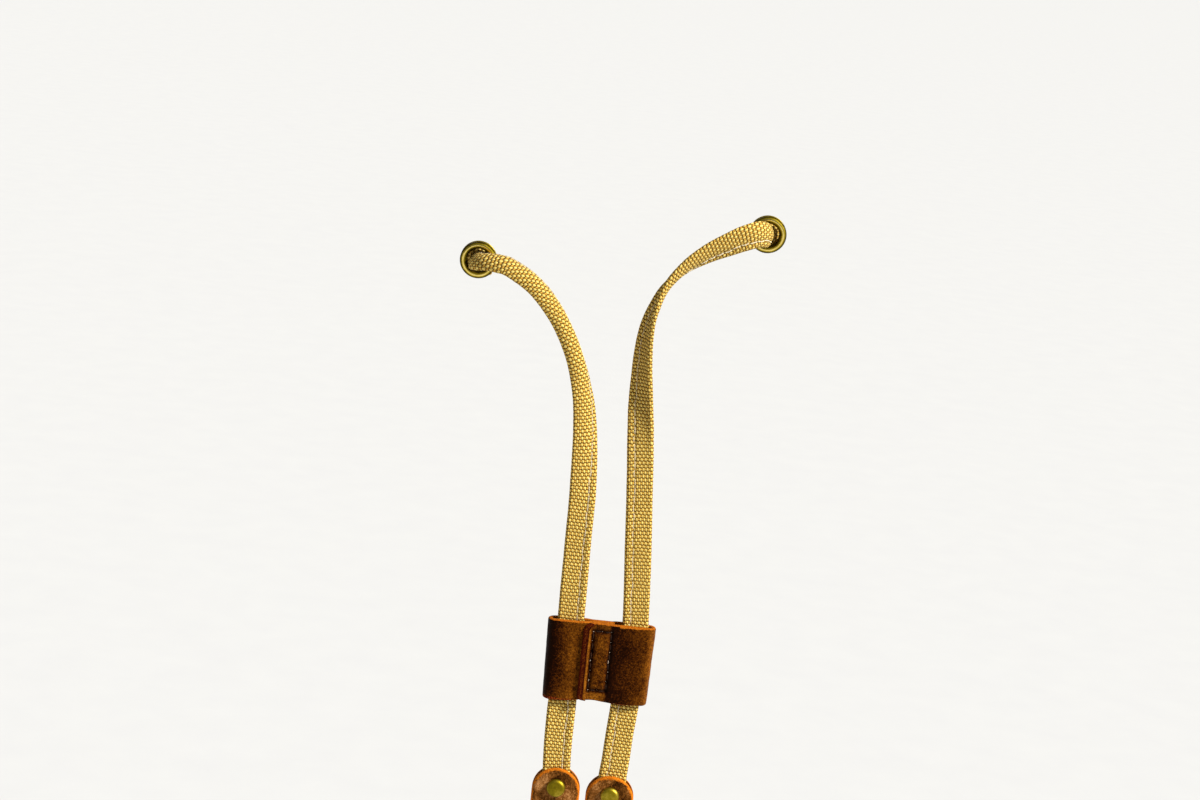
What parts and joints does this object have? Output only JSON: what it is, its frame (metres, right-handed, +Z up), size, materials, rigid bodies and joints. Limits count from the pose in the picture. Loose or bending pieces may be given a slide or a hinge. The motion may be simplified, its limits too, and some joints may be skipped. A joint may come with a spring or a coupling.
{
  "type": "drawstring cord lock",
  "caption": "Wrapped leather slider that cinches two flat canvas drawcord ends, each from a brass eyelet to a riveted leather end tab.",
  "frame": {"origin": "midway between the centres of the two eyelets, on the outside face of the fabric they are set in, which holds the part up", "axes": "+Z up along the slider's tunnels, +Y from the front into the fabric, +X to the right seen from the front"},
  "size_m": [0.1388, 0.0334, 0.2935],
  "materials": {
    "slider_leather": "oiled pull-up leather, mottled dark red-brown, raw orange cut edges",
    "tab_leather": "oiled leather, raw orange cut edges",
    "waxed_thread": "dark waxed sewing thread",
    "cord_canvas": "plain-weave sand canvas, folded and seam-stitched",
    "antique_brass": "antiqued brass, worn bright on the crowns"
  },
  "bodies": {
    "anchor": {"left_eyelet": "antique_brass", "left_eyelet_washer": "antique_brass", "right_eyelet": "antique_brass", "right_eyelet_washer": "antique_brass", "left_drawcord": "cord_canvas", "right_drawcord": "cord_canvas", "left_cord_stop": "cord_canvas", "right_cord_stop": "cord_canvas"},
    "slider": {"slider_band": "slider_leather", "needle_thread": "waxed_thread", "bobbin_thread": "waxed_thread"},
    "left_tab": {"left_tab": "tab_leather", "left_rivet_cap": "antique_brass", "left_rivet_stud": "antique_brass"},
    "right_tab": {"right_tab": "tab_leather", "right_rivet_cap": "antique_brass", "right_rivet_stud": "antique_brass"}
  },
  "joints": [
    {"name": "slider_slide", "type": "slide", "parent": "anchor", "child": "slider", "axis": [0, 0, 1], "range_m": [-0.028, 0.045]},
    {"name": "left_tab_pivot", "type": "hinge", "parent": "anchor", "child": "left_tab", "pos_m": [-0.0048, -0.014, -0.241], "axis": [0, 1, 0], "range_deg": [-2, 15]},
    {"name": "right_tab_pivot", "type": "hinge", "parent": "anchor", "child": "right_tab", "pos_m": [0.0193, -0.014, -0.2423], "axis": [0, 1, 0], "range_deg": [-15, 2]}
  ]
}
